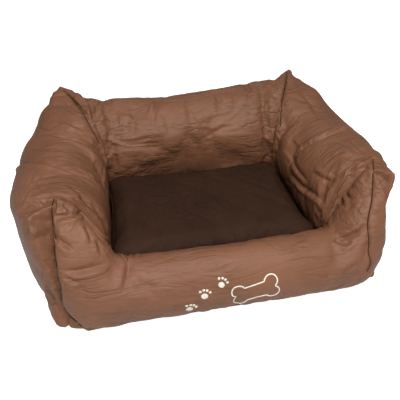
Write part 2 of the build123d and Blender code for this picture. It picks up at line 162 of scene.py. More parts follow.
def cloth_look(name, dark, light, pitch, streak, roughness, sheen, shine=0.35):
    """A woven cloth: colour that drifts between two shades, threads along each axis, and fine creases along
    which the colour is darkened a little as painted shade. The threads lie one pitch apart, and streak says
    how closely the creases follow each other along each axis."""
    look, tree, shader = new_look(name)
    place = add_node(tree, "TexCoord", {}).outputs["Object"]
    cloud = add_node(tree, "TexNoise", {"Vector": place, "Scale": 9, "Detail": 5}).outputs["Fac"]
    gloss = {"Value": cloud, "To Min": roughness - 0.06, "To Max": roughness + 0.08}
    rough = add_node(tree, "MapRange", gloss).outputs["Result"]
    calm = add_node(tree, "MapRange", {"Value": cloud, "From Min": 0.42, "From Max": 0.7})
    colour = shades(tree, cloud, dark, light, 0.3, 0.72)
    turned = None
    for closeness, sharp, strength, distance in ((1.0, 0.06, 0.4, 0.0032), (2.6, 0.13, 0.34, 0.0014)):
        stretch = [closeness * along for along in streak]
        stretched = add_node(tree, "Mapping", {"Vector": place, "Scale": stretch}).outputs["Vector"]
        ridges = {"Vector": stretched, "Scale": 1, "Detail": 2.5, "Distortion": 0.5}
        lines = add_node(tree, "TexNoise", ridges)
        middle = add_node(tree, "Math", {0: lines.outputs["Fac"], 1: 0.5}, "SUBTRACT")
        away = add_node(tree, "Math", {0: middle.outputs[0]}, "ABSOLUTE")
        crease = add_node(tree, "MapRange", {"Value": away.outputs[0], "From Max": sharp})
        crease.interpolation_type = "SMOOTHSTEP"
        shown = add_node(tree, "Math", {0: crease.outputs["Result"], 1: calm.outputs["Result"]}, "MAXIMUM")
        bump = {"Height": shown.outputs[0], "Strength": strength, "Distance": distance}
        if turned is not None:
            bump["Normal"] = turned
        turned = add_node(tree, "Bump", bump).outputs["Normal"]
        # Painted shade: the colour is darkened by up to 7 per cent along each crease
        crease_shade_amount = add_node(tree, "MapRange", {"Value": shown.outputs[0], "To Min": 0.93})
        crease_shaded = add_node(tree, "VectorMath", {0: colour, "Scale": crease_shade_amount.outputs["Result"]}, "SCALE")
        colour = crease_shaded.outputs["Vector"]
    weave = None
    for direction in ("X", "Y", "Z"):
        waves = {"Vector": place, "Scale": 0.314 / pitch, "Distortion": 0.6, "Detail Scale": 60}
        wave = add_node(tree, "TexWave", waves)
        wave.bands_direction = direction
        if weave is None:
            weave = wave.outputs["Fac"]
        else:
            weave = add_node(tree, "Math", {0: weave, 1: wave.outputs["Fac"]}, "ADD").outputs[0]
    threads = {"Height": weave, "Normal": turned, "Strength": 0.3, "Distance": pitch / 3}
    fine = add_node(tree, "Bump", threads)
    feed(tree, shader, {"Base Color": colour, "Roughness": rough})
    feed(tree, shader, {"Normal": fine.outputs["Normal"], "Specular IOR Level": shine})
    feed(tree, shader, {"Sheen Weight": sheen, "Sheen Roughness": 0.4, "Sheen Tint": (0.9, 0.7, 0.55, 1)})
    return look


def dress(node, look):
    """Gives a CAD piece this look."""
    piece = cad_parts[node]
    piece.data.materials.clear()
    piece.data.materials.append(look)


base_shades = ((0.07, 0.035, 0.022), (0.09, 0.045, 0.028))
base_cloth = cloth_look(
    "base_cloth", *base_shades, pitch=0.0009, streak=(12, 12, 12), roughness=0.6, sheen=0.1
)
dress("base_sheet", base_cloth)


# The stuffing: one loose filling of white polyester fibre in each bolster and in the cushion. It is lumpy,
# and lies a little inside the cover that hides it.
def points(piece):
    """The piece's points as rows."""
    rows = np.empty(len(piece.data.vertices) * 3)
    piece.data.vertices.foreach_get("co", rows)
    return rows.reshape(-1, 3)


def put(piece, rows):
    """Moves the piece's points to these rows."""
    piece.data.vertices.foreach_set("co", rows.ravel())
    piece.data.update()


def normals(piece):
    """The piece's outward directions at its points, as rows."""
    rows = np.empty(len(piece.data.vertices) * 3)
    piece.data.vertex_normals.foreach_get("vector", rows)
    return rows.reshape(-1, 3)


def smoothed(piece, rows, free, rounds):
    """The rows after each free point has moved this many times towards the middle of its neighbours."""
    ends = np.empty(len(piece.data.edges) * 2, np.int32)
    piece.data.edges.foreach_get("vertices", ends)
    ends = ends.reshape(-1, 2)
    count = np.bincount(ends.ravel(), minlength=len(rows))
    for _ in range(rounds):
        total = np.stack(
            [
                np.bincount(ends[:, 0], rows[ends[:, 1], axis], len(rows))
                + np.bincount(ends[:, 1], rows[ends[:, 0], axis], len(rows))
                for axis in range(3)
            ],
            1,
        )
        rows = rows + (total / count[:, None] - rows) * 0.5 * free[:, None]
    return rows


def select(piece):
    """Makes this piece the only one that is selected, and the active one."""
    bpy.ops.object.select_all(action="DESELECT")
    piece.select_set(True)
    bpy.context.view_layer.objects.active = piece


def even_copy(node, name, voxel):
    """A copy of a solid as a new piece with an even net of faces."""
    piece = bpy.data.objects.new(name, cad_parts[node].data.copy())
    bpy.context.scene.collection.objects.link(piece)
    select(piece)
    piece.data.materials.clear()
    piece.data.remesh_voxel_size = voxel
    bpy.ops.object.voxel_remesh()
    return piece


fibre, tree, shader = new_look("fibre")
place = add_node(tree, "TexCoord", {}).outputs["Object"]
strands = {"Vector": place, "Scale": 120, "Detail": 6, "Distortion": 2.5}
wisps = add_node(tree, "TexNoise", strands).outputs["Fac"]
fluff = add_node(tree, "Bump", {"Height": wisps, "Strength": 0.8, "Distance": 0.004})
white = shades(tree, wisps, (0.7, 0.69, 0.66), (0.9, 0.89, 0.86))
feed(tree, shader, {"Base Color": white, "Normal": fluff.outputs["Normal"]})
feed(tree, shader, {"Roughness": 0.95, "Sheen Weight": 0.3})
lumps_per_metre = 30
lump_height = 0.004
below_cover = 0.014
for node, body in (
    ("right_arm_filling", "bed"),
    ("left_arm_filling", "bed"),
    ("back_filling", "bed"),
    ("front_filling", "bed"),
    ("cushion_filling", "cushion"),
):
    stuffing = even_copy(node, node.replace("filling", "stuffing"), voxel=0.012)
    rows = smoothed(stuffing, points(stuffing), np.ones(len(stuffing.data.vertices)), rounds=90)
    put(stuffing, rows)
    lumps = np.array([noise.noise(Vector(row) * lumps_per_metre) for row in rows])[:, None]
    put(stuffing, rows + normals(stuffing) * (lumps * lump_height - below_cover))
    bpy.ops.object.shade_smooth()
    stuffing.data.materials.append(fibre)
    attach(stuffing, body)
    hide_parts(node)


# The two arms: covers of smooth chocolate nylon, stuffed and sewn to the base sheet, the back and the front.
# The cloth is cut a little too large, so it lies in soft puckers, and the larger folds that the photograph
# shows are pressed into it.
middle_level = 0.1
arm_middle_out = 0.3
cover_net = 0.006
cover_gap = 0.002
foot_height = 0.009
seam_reach = 0.004
seam_blend = 0.008
seam_overlap = 0.004


def cover_of(filling, name, gap):
    """A cover with an even net of faces, and its points, moved out from the filling by this gap."""
    cover = even_copy(filling, name, cover_net)
    return cover, points(cover) + normals(cover) * gap


def plane(corners):
    """The first of three corners, and the direction that the plane through them faces."""
    a, b, c = (np.array(corner) for corner in corners)
    way = np.cross(b - a, c - a)
    return a, way / np.linalg.norm(way)


def sewn_down(rows, seams):
    """1 for each row on a seam's plane or low enough to be sewn to the base sheet, and 0 for the others."""
    held = rows[:, 2] < foot_height
    for corners in seams:
        corner, way = plane(corners)
        held = held | (np.abs((rows - corner) @ way) < seam_reach)
    return held.astype(float)


def overlapped(rows, corners, inside):
    """The rows after those beside a seam's plane have moved into the piece beyond it, to leave no gap."""
    corner, way = plane(corners)
    way = -way if (np.array(inside) - corner) @ way > 0 else way
    near = np.exp(-((((rows - corner) @ way) / seam_blend) ** 2))
    return rows + near[:, None] * way * seam_overlap


def nearness(rows, centre, reach):
    """How near each row is to a centre: 1 there, and next to nothing two reaches away."""
    return np.exp(-((np.linalg.norm(rows - np.array(centre), axis=1) / reach) ** 2))


def grabbed(rows, grabs):
    """The rows after each grab has pulled what lies within its reach, the nearest most."""
    for centre, pull, reach in grabs:
        rows = rows + nearness(rows, centre, reach)[:, None] * np.array(pull)
    return rows


def loose(rows, held, tips, reach):
    """How freely each row may be smoothed: not where it is held, and hardly near the pointed tips."""
    free = 1 - held
    for tip in tips:
        free = free * (1 - nearness(rows, tip, reach))
    return free


def blow_up(piece, held, pressure, spare, cap):
    """Fills the piece like a bolster. Its cloth is larger than its space by the spare share and stays where
    it is held, and no point moves further than the cap."""
    frames = 20
    group = piece.vertex_groups.new(name="held")
    for index in np.flatnonzero(held > 0.01):
        group.add([int(index)], float(held[index]), "REPLACE")
    before = points(piece)
    cloth = piece.modifiers.new("Cloth", "CLOTH")
    cloth.settings.quality = 5
    cloth.settings.mass = 0.2
    cloth.settings.bending_stiffness = 0.05
    cloth.settings.use_pressure = True
    cloth.settings.uniform_pressure_force = pressure
    cloth.settings.shrink_min = -spare
    cloth.settings.vertex_group_mass = "held"
    cloth.settings.effector_weights.gravity = 0
    cloth.collision_settings.use_collision = False
    for step in range(1, frames + 1):
        bpy.context.scene.frame_set(step)
    select(piece)
    bpy.ops.object.modifier_apply(modifier="Cloth")
    bpy.context.scene.frame_set(1)
    move = points(piece) - before
    far = np.linalg.norm(move, axis=1, keepdims=True)
    put(piece, before + move * (cap * np.tanh(far / cap) / np.maximum(far, 1e-9)))
    piece.vertex_groups.clear()


def subdivide(piece):
    """One round of subdivision, and smooth shading."""
    piece.modifiers.new("Subdivision", "SUBSURF").levels = 1
    select(piece)
    bpy.ops.object.modifier_apply(modifier="Subdivision")
    bpy.ops.object.shade_smooth()


def surface(*pieces):
    """The pieces' faces as one tree that a line of sight can be tested against."""
    corners = []
    faces = []
    for piece in pieces:
        first = len(corners)
        corners += [vertex.co.copy() for vertex in piece.data.vertices]
        faces += [[first + index for index in polygon.vertices] for polygon in piece.data.polygons]
    return BVHTree.FromPolygons(corners, faces)


def seen(tree, pixels):
    """The line on a surface that the camera sees along these pixels of the photograph."""
    focal = camera.data.lens / camera.data.sensor_width * picture_size
    centre = picture_size / 2
    eye = camera.matrix_world.translation
    steps = 7
    usual_depth = 1.05
    line = []
    for (u0, v0), (u1, v1) in zip(pixels, pixels[1:]):
        for step in range(steps):
            u = u0 + (u1 - u0) * step / steps
            v = v0 + (v1 - v0) * step / steps
            way = camera.matrix_world.to_3x3() @ Vector(((u - centre) / focal, (centre - v) / focal, -1))
            spot = tree.ray_cast(eye, way.normalized())[0]
            if spot is None:
                depth = (line[-1] - eye).length if line else usual_depth
                spot = tree.find_nearest(eye + way.normalized() * depth)[0]
            line.append(spot)
    line = np.array(line)
    for _ in range(3):
        line[1:-1] = (line[:-2] + 2 * line[1:-1] + line[2:]) / 4
    return line


def beside(rows, ways, line):
    """Each row's distance from a line, on which side of it it lies on the surface, and how far along it."""
    best = np.full(len(rows), np.inf)
    side = np.ones(len(rows))
    along = np.zeros(len(rows))
    steps = np.linalg.norm(np.diff(line, axis=0), axis=1)
    reached = np.concatenate([[0], np.cumsum(steps)])
    for index, step in enumerate(steps):
        if step < 1e-7:
            continue
        way = (line[index + 1] - line[index]) / step
        run = np.clip((rows - line[index]) @ way, 0, step)
        off = rows - line[index] - run[:, None] * way
        far = np.linalg.norm(off, axis=1)
        nearer = far < best
        best = np.where(nearer, far, best)
        side = np.where(nearer, np.sign((np.cross(way, ways) * off).sum(1)), side)
        along = np.where(nearer, (reached[index] + run) / reached[-1], along)
    return best, side, along


def fold(piece, line, depth, width, lip=0.0):
    """Presses a crease along a line, or raises one where the depth is below 0, and fades it out at the ends.
    A lip swells beside it, on the right of someone who walks the line on the cloth."""
    every = points(piece)
    reach = 4 * width
    near = ((every > line.min(0) - reach) & (every < line.max(0) + reach)).all(1)
    if not near.any():
        return
    rows = every[near]
    ways = normals(piece)[near]
    far, side, along = beside(rows, ways, line)
    fade = np.clip(np.minimum(along, 1 - along) / 0.35, 0, 1)
    press = -depth * np.exp(-((far / width) ** 1.3)) + lip * np.exp(-((far * side / width - 1.5) ** 2))
    every[near] += ways * (press * np.sin(fade * math.pi / 2))[:, None]
    put(piece, every)


def pucker(piece, run, around, pitch, depth, seed, where=1.0):
    """Soft valleys that go round a bolster, close together in places and absent in others."""
    rows = points(piece)
    values = np.empty(len(rows))
    for index, (step, turn) in enumerate(zip(run, around)):
        bend = noise.noise(Vector((step * 9, turn * 7, seed + 5.3))) * 0.035
        valley = noise.noise(Vector(((step + bend) / pitch, turn * 3.5, seed)))
        patch = noise.noise(Vector((step * 5.5, turn * 8, seed + 9.1)))
        values[index] = max(0.0, 1 - 2.6 * abs(valley)) ** 2 * min(1.0, max(0.0, 0.45 + 1.6 * patch))
    put(piece, rows - normals(piece) * (values * depth * where)[:, None])


def off_floor(rows):
    """0 for each row on the floor, and up to 1 for those 30 mm above it and higher."""
    return np.clip(rows[:, 2] / 0.03, 0, 1)


def grounded(piece, level=0.001):
    """Lifts what lies below this level up to it."""
    rows = points(piece)
    rows[:, 2] = np.maximum(rows[:, 2], level)
    put(piece, rows)


brown = ((0.172, 0.074, 0.0385), (0.205, 0.0895, 0.048))
bolster_cloth = {"pitch": 0.0007, "roughness": 0.46, "sheen": 0.0, "shine": 0.3}
arm_nylon = cloth_look("arm_nylon", *brown, streak=(9, 38, 11), **bolster_cloth)
long_nylon = cloth_look("long_nylon", *brown, streak=(9, 32, 36), **bolster_cloth)
rear_tip = {side: (side * 0.3, 0.286, 0.243) for side in (1, -1)}
front_tip = {side: (side * 0.286, -0.176, 0.244) for side in (1, -1)}
back_seam = {
    side: ((side * 0.216, 0.118, 0), (side * 0.3, 0.286, 0), (side * 0.3, 0.286, 1))
    for side in (1, -1)
}
front_seam = {
    side: ((side * 0.216, -0.19, 0.06), front_tip[side], (side * 0.303, -0.262, 0.002))
    for side in (1, -1)
}
# Each grab is a centre, a pull and a reach
arm_grabs = {
    1: (
        ((0.395, -0.12, 0.17), (-0.026, 0.0, 0.004), 0.1),
        ((0.358, -0.17, 0.18), (-0.012, 0.002, 0.002), 0.05),
        ((0.352, -0.13, 0.2), (0.004, 0.004, 0.014), 0.04),
        ((0.36, -0.2, 0.07), (-0.034, 0.004, 0), 0.08),
        ((0.31, -0.25, 0.004), (0.014, -0.004, 0), 0.03),
        ((0.35, -0.06, 0.21), (0.006, 0, 0.014), 0.07),
        ((0.335, 0.205, 0.205), (0.02, 0.016, 0.032), 0.06),
        ((0.3, 0.284, 0.238), (0.002, 0.003, 0.008), 0.022),
    ),
    -1: (
        ((-0.316, -0.25, 0.004), (-0.012, -0.008, 0), 0.03),
        ((-0.34, -0.2, 0.03), (-0.002, -0.002, 0), 0.05),
        ((-0.34, 0.215, 0.195), (-0.018, 0.012, 0.03), 0.055),
        ((-0.32, 0.265, 0.225), (-0.01, 0.004, 0.007), 0.03),
        ((-0.3, 0.284, 0.238), (-0.002, 0.003, 0.005), 0.022),
    ),
}
# Each fold is its pixels in the photograph, and then its depth, its width and its lip
arm_folds = {
    -1: (
        (((13, 170), (22, 162), (33, 161), (47, 163), (60, 167), (79, 174), (97, 182)), 0.009, 0.007, 0.005),
        (((16, 207), (23, 192), (38, 167)), 0.003, 0.004, 0.002),
        (((17, 209), (28, 191), (44, 172)), 0.003, 0.004, 0.002),
        (((19, 209), (33, 193), (54, 178)), 0.0025, 0.004, 0.002),
        (((16, 210), (29, 200), (43, 195.4), (56, 194)), -0.004, 0.007, 0.0),
        (((14, 224), (28, 216), (42, 211), (53, 210)), 0.006, 0.014, 0.0),
        (((30, 202), (36, 206), (41, 207), (45, 203), (47, 198)), 0.005, 0.0035, 0.003),
        (((40, 200), (44, 202), (46, 206)), 0.003, 0.003, 0.002),
        (((34, 125), (43, 129.5), (52, 131)), 0.005, 0.004, 0.003),
        (((52, 119), (66, 122), (76, 126), (89, 132)), 0.0045, 0.006, 0.004),
        (((46, 133), (60, 136.5), (76, 140), (90, 146)), 0.004, 0.006, 0.003),
        (((28, 147), (50, 150), (72, 151), (92, 157)), 0.003, 0.008, 0.003),
        (((60, 106), (70, 110), (80, 118)), 0.003, 0.006, 0.002),
        (((68, 184), (80, 193), (90, 210)), 0.003, 0.007, 0.002),
        (((72, 163), (86, 171), (96, 182)), 0.004, 0.005, 0.003),
        (((46, 284), (54, 300), (60, 312), (68, 321)), 0.003, 0.006, 0.002),
        (((50, 222), (40, 219), (30, 221)), 0.002, 0.006, 0.001),
        (((50, 236), (38, 238), (28, 243)), 0.002, 0.007, 0.001),
    ),
    1: (
        (
            ((352, 128), (340, 129), (327, 134), (312, 141.6), (302, 148), (297, 152), (295, 157)),
            0.009,
            0.006,
            0.004,
        ),
        (((345, 127), (334, 129.5), (324, 134)), 0.006, 0.006, 0.0),
        (((287, 171), (302, 187), (315, 195), (331, 207)), 0.005, 0.007, 0.003),
        (((291, 158), (298, 172), (310, 184)), 0.004, 0.006, 0.002),
        (((372, 157), (384, 162), (392, 170)), -0.004, 0.007, 0.0),
        (((374, 172), (382, 178), (390, 186)), 0.005, 0.012, 0.0),
        (((350, 139), (360, 149), (369, 156)), 0.003, 0.006, 0.002),
        (((336, 140), (350, 147), (363, 157)), 0.003, 0.007, 0.002),
        (((298, 90), (312, 104), (319, 120)), 0.003, 0.008, 0.002),
        (((337, 182), (325, 180), (310, 171)), 0.003, 0.006, 0.002),
        (((377, 249), (370, 256), (371, 264), (366, 274)), 0.009, 0.006, 0.003),
        (((374, 196), (380, 204), (384, 216)), 0.0025, 0.007, 0.001),
    ),
}
arms = {}
for side, name in ((1, "right_arm"), (-1, "left_arm")):
    arm, rows = cover_of(name + "_filling", name, cover_gap)
    held = sewn_down(rows, (back_seam[side], front_seam[side]))
    rows = overlapped(rows, back_seam[side], inside=(side * 0.32, 0, 0.1))
    rows = overlapped(rows, front_seam[side], inside=(side * 0.32, 0, 0.1))
    rows = grabbed(rows, arm_grabs[side])
    stuffing = bpy.data.objects[name + "_stuffing"]
    put(stuffing, grabbed(points(stuffing), arm_grabs[side]))
    free = loose(rows, held, (rear_tip[side], front_tip[side]), reach=0.05)
    put(arm, smoothed(arm, rows, free, rounds=14))
    blow_up(arm, held, pressure=4, spare=0.08, cap=0.008)
    subdivide(arm)
    rows = points(arm)
    turn = np.arctan2(rows[:, 2] - middle_level, side * rows[:, 0] - arm_middle_out) / 6
    inner = np.clip((0.33 - side * rows[:, 0]) / 0.03, 0.35, 1)
    pucker(arm, rows[:, 1], turn, pitch=0.06, depth=0.0028, seed=3.7 + side, where=off_floor(rows) * inner)
    pucker(arm, rows[:, 1], turn, pitch=0.022, depth=0.001, seed=7.7 + side, where=off_floor(rows))
    subdivide(arm)
    tree = surface(arm)
    for pixels, depth, width, lip in arm_folds[side]:
        fold(arm, seen(tree, pixels), depth, width, lip)
    grounded(arm)
    arm.data.materials.append(arm_nylon)
    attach(arm, "bed")
    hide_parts(name + "_cover")
    arms[name] = arm


# The back bolster: a stuffed tube of the same nylon, sewn to the arms at its two pointed corners, with
# upright puckers on its inner face. Behind, its zip lies in a flat place with a sunk slit.
def outside(rows, half_wide, half_tall, level):
    """How far each row lies outside a rectangle round a zip, seen from behind, and below 0 inside it."""
    return np.maximum(np.abs(rows[:, 0]) - half_wide, np.abs(rows[:, 2] - level) - half_tall)


def flatten(piece, level, half_wide, blend, rear_from, cloth_y, slit_y):
    """Presses the cloth round a zip flat and sinks a slit in it, on what lies further back than rear_from.
    cloth_y and slit_y say how far back the cloth and the slit come to lie."""
    rows = points(piece)
    flat = np.clip(1 - outside(rows, half_wide, flat_half_tall, level) / blend, 0, 1)
    flat = np.where(rows[:, 1] > rear_from, flat, 0)
    sunk = outside(rows, slit_half_wide, slit_half_tall, level) < 0
    rows[:, 1] += flat * (np.where(sunk, slit_y, cloth_y) - rows[:, 1])
    put(piece, rows)


flat_half_tall = 0.013
slit_half_wide = 0.132
slit_half_tall = 0.008
back_middle = 0.2
back_zip_level = 0.088
back_flat_half_wide = 0.136
back_grabs = (
    ((0.22, 0.22, 0.22), (0, 0.004, 0.018), 0.08),
    ((0.3, 0.284, 0.238), (0.002, 0.003, 0.008), 0.022),
    ((-0.05, 0.2, 0.23), (0, 0, -0.014), 0.13),
    ((-0.26, 0.24, 0.22), (0, 0, 0.012), 0.04),
    ((-0.3, 0.284, 0.238), (-0.002, 0.003, 0.005), 0.022),
)
back_folds = (
    (((87.5, 95), (91.7, 105.5), (94.3, 118), (94.5, 133)), 0.009, 0.006, 0.004),
    (((96.5, 99), (98, 102), (100, 106)), 0.006, 0.004, 0.003),
    (((114, 104), (117, 118), (119, 132), (120, 146)), 0.0035, 0.009, 0.0015),
    (((132, 104), (134, 118), (133, 132), (134, 142)), 0.003, 0.009, 0.0015),
    (((158, 99), (156, 109), (153, 120), (154, 130)), 0.004, 0.008, 0.0015),
    (((162, 110), (167, 124), (171, 140)), 0.003, 0.009, 0.0015),
    (((183, 93), (188, 106), (191, 120), (192, 132)), 0.0035, 0.009, 0.0015),
    (((213, 88), (218, 100), (219, 114)), 0.004, 0.008, 0.002),
    (((229, 86), (235, 98), (235, 112)), 0.0035, 0.008, 0.0015),
    (((248, 82), (250, 92), (246, 104)), 0.0045, 0.007, 0.002),
    (((112, 141), (127, 144), (143, 144), (156, 144), (166, 141)), 0.004, 0.007, -0.003),
)
bolster, rows = cover_of("back_filling", "back_bolster", cover_gap)
held = sewn_down(rows, back_seam.values())
for side in (1, -1):
    rows = overlapped(rows, back_seam[side], inside=(0, 0.22, 0.1))
in_frame = outside(rows, half_wide=0.146, half_tall=0.017, level=back_zip_level) < 0
held = np.maximum(held, in_frame & (rows[:, 1] > back_middle))
free = loose(rows, held, rear_tip.values(), reach=0.05)
rows = grabbed(rows, back_grabs)
put(bolster, smoothed(bolster, rows, free, rounds=14))
blow_up(bolster, held, pressure=4, spare=0.08, cap=0.010)
subdivide(bolster)
rows = points(bolster)
turn = np.arctan2(rows[:, 2] - middle_level, back_middle - rows[:, 1]) / 6
round_zip = np.clip(outside(rows, back_flat_half_wide, flat_half_tall, back_zip_level) / 0.02, 0, 1)
clear = np.where(rows[:, 1] > back_middle, round_zip, 1) * off_floor(rows)
pucker(bolster, rows[:, 0], turn, pitch=0.055, depth=0.0024, seed=1.3, where=clear)
pucker(bolster, rows[:, 0], turn, pitch=0.022, depth=0.0012, seed=8.3, where=clear)
subdivide(bolster)
flatten(
    bolster,
    back_zip_level,
    back_flat_half_wide,
    blend=0.012,
    rear_from=0.24,
    cloth_y=0.2926,
    slit_y=0.2875,
)
grounded(bolster)
tree = surface(bolster)
for pixels, depth, width, lip in back_folds:
    fold(bolster, seen(tree, pixels), depth, width, lip)
bolster.data.materials.append(long_nylon)
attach(bolster, "bed")
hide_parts("back_cover")

# The low front bolster: a stuffed tube of the same nylon with less spare cloth. Its ends are pulled up into
# two ears that close the arms.
front_level = 0.06
front_middle = -0.23
front_grabs = (
    ((-0.257, -0.192, 0.200), (0.008, 0, 0.018), 0.036),
    ((-0.228, -0.221, 0.165), (0.01, 0, 0.016), 0.036),
    ((-0.205, -0.232, 0.140), (0.006, 0, 0.008), 0.03),
    ((-0.3, -0.262, 0.004), (-0.004, -0.012, 0), 0.035),
    ((-0.24, -0.28, 0.01), (0, -0.004, 0), 0.05),
)
front_folds = (
    (((54, 219), (62, 216), (70, 215), (80, 213)), 0.005, 0.006, 0.003),
    (((62, 204), (68, 208), (72, 212)), 0.003, 0.004, 0.002),
    (((72, 217), (77, 214), (82, 212)), 0.006, 0.004, 0.003),
    (((54, 237), (65, 244.5), (76, 252)), 0.006, 0.005, 0.003),
    (((60, 270), (76, 272), (94, 268), (112, 262)), 0.006, 0.006, 0.004),
    (((60, 273), (71, 281), (82, 283)), 0.004, 0.005, 0.002),
    (((129, 259), (127.5, 277), (121, 298)), 0.0045, 0.006, 0.002),
    (((126, 253), (128, 258), (128, 263)), 0.004, 0.0035, 0.002),
    (((132, 252), (134, 257), (134, 262)), 0.004, 0.0035, 0.002),
    (((138, 251), (141, 256), (141, 261)), 0.0035, 0.0035, 0.002),
    (((367, 223), (359, 232), (347, 237), (334, 238)), 0.008, 0.006, 0.004),
    (((334, 239), (345, 244), (353, 240)), 0.006, 0.005, 0.003),
    (((341, 190), (347, 196), (352, 201)), 0.006, 0.004, 0.003),
    (((337, 196), (341, 203), (346, 208)), 0.004, 0.004, 0.002),
    (((344, 177), (341, 183), (342, 189)), 0.005, 0.004, 0.002),
    (((360, 262), (350, 270), (340, 276)), 0.003, 0.007, 0.002),
    (((60, 300), (66, 313), (76, 322), (86, 330)), 0.006, 0.005, 0.003),
    (((368, 240), (366, 255), (362, 268)), 0.004, 0.008, 0.002),
    (((84, 224), (90, 234), (92, 246)), 0.003, 0.005, 0.002),
    (((96, 238), (100, 246), (101, 256)), 0.003, 0.005, 0.002),
)
front, rows = cover_of("front_filling", "front_bolster", cover_gap)
held = sewn_down(rows, front_seam.values())
for side in (1, -1):
    rows = overlapped(rows, front_seam[side], inside=(0, -0.24, 0.06))
rows = grabbed(rows, front_grabs)
free = loose(rows, held, front_tip.values(), reach=0.06)
put(front, smoothed(front, rows, free, rounds=14))
blow_up(front, held, pressure=4, spare=0.05, cap=0.008)
subdivide(front)
rows = points(front)
turn = np.arctan2(rows[:, 2] - front_level, front_middle - rows[:, 1]) / 8
pucker(front, rows[:, 0], turn, pitch=0.05, depth=0.0014, seed=2.9, where=off_floor(rows))
subdivide(front)
tree = surface(front)
for pixels, depth, width, lip in front_folds:
    fold(front, seen(tree, pixels), depth, width, lip)
grounded(front)
front.data.materials.append(long_nylon)
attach(front, "bed")
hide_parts("front_cover")


# Seams: a raised flat flange with two rows of stitches along each wing's ridge, and a sunk seam with stitches
# down each corner, where the front and the back are sewn to the arms, with a dark strip in it as painted
# shadow
def lengths(line):
    """How far along a line each of its points lies."""
    return np.concatenate([[0], np.cumsum(np.linalg.norm(np.diff(line, axis=0), axis=1))])


def drawn_from(reached, line, wanted):
    """A line's values at the wanted lengths. reached says how far along it each of its own rows lies."""
    return np.stack([np.interp(wanted, reached, line[:, axis]) for axis in range(line.shape[1])], 1)


def spaced(line, count):
    """The line again, as this many points equally far apart."""
    reached = lengths(line)
    return drawn_from(reached, line, np.linspace(0, reached[-1], count))


def even(line, step):
    """The line again, with its points about this step apart."""
    return spaced(line, max(2, int(lengths(line)[-1] / step)))


def laid(tree, line, lift=0.0):
    """The line's points on the nearest surface, lifted off it, and the surface's directions there."""
    hits = [tree.find_nearest(Vector(point)) for point in line]
    ways = np.array([hit[1] for hit in hits])
    for _ in range(4):
        ways[1:-1] = (ways[:-2] + 2 * ways[1:-1] + ways[2:]) / 4
    ways /= np.linalg.norm(ways, axis=1, keepdims=True)
    return np.array([hit[0] for hit in hits]) + ways * lift, ways


def strips(name, runs, look, body):
    """One piece made of flat strips. Each run gives a strip's points, their outward ways, its width, its
    thickness and whether it is closed. The profile is in shares of the width and of the thickness."""
    profile = ((-0.5, -0.6), (-0.5, 0.25), (-0.38, 0.5), (0.38, 0.5), (0.5, 0.25), (0.5, -0.6))
    sides = len(profile)
    corners = []
    faces = []
    for line, ways, width, thick, closed in runs:
        first = len(corners)
        ahead = np.roll(line, -1, 0) - np.roll(line, 1, 0)
        if not closed:
            ahead[0] = line[1] - line[0]
            ahead[-1] = line[-1] - line[-2]
        ahead /= np.linalg.norm(ahead, axis=1, keepdims=True)
        across = np.cross(ahead, ways)
        across /= np.linalg.norm(across, axis=1, keepdims=True)
        up = np.cross(across, ahead)
        for index in range(len(line)):
            for out_by, up_by in profile:
                corners.append(line[index] + across[index] * out_by * width + up[index] * up_by * thick)
        for index in range(len(line) if closed else len(line) - 1):
            after = (index + 1) % len(line)
            left = first + index * sides
            right = first + after * sides
            for turn in range(sides):
                beyond = (turn + 1) % sides
                faces.append((left + turn, right + turn, right + beyond, left + beyond))
        if not closed:
            faces.append(tuple(first + turn for turn in range(sides)))
            faces.append(tuple(first + (len(line) - 1) * sides + turn for turn in range(sides)))
    mesh = bpy.data.meshes.new(name)
    mesh.from_pydata([tuple(corner) for corner in corners], [], faces)
    shape = bmesh.new()
    shape.from_mesh(mesh)
    bmesh.ops.recalc_face_normals(shape, faces=shape.faces)
    shape.to_mesh(mesh)
    shape.free()
    piece = bpy.data.objects.new(name, mesh)
    bpy.context.scene.collection.objects.link(piece)
    select(piece)
    bpy.ops.object.shade_smooth_by_angle(angle=0.8)
    piece.data.materials.append(look)
    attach(piece, body)


def stitches(line, ways, aside, length=0.0024, pitch=0.0036):
    """Short threads in a row, this far aside from a line, for strips."""
    thread_wide = 0.0006
    thread_thick = 0.0007
    ahead = np.gradient(line, axis=0)
    ahead /= np.linalg.norm(ahead, axis=1, keepdims=True)
    across = np.cross(ahead, ways)
    reached = lengths(line)
    runs = []
    for start in np.arange(pitch, reached[-1] - pitch, pitch):
        where = (start, start + length / 2, start + length)
        spots = drawn_from(reached, line + across * aside, where)
        outs = drawn_from(reached, ways, where)
        runs.append((spots, outs, thread_wide, thread_thick, False))
    return runs


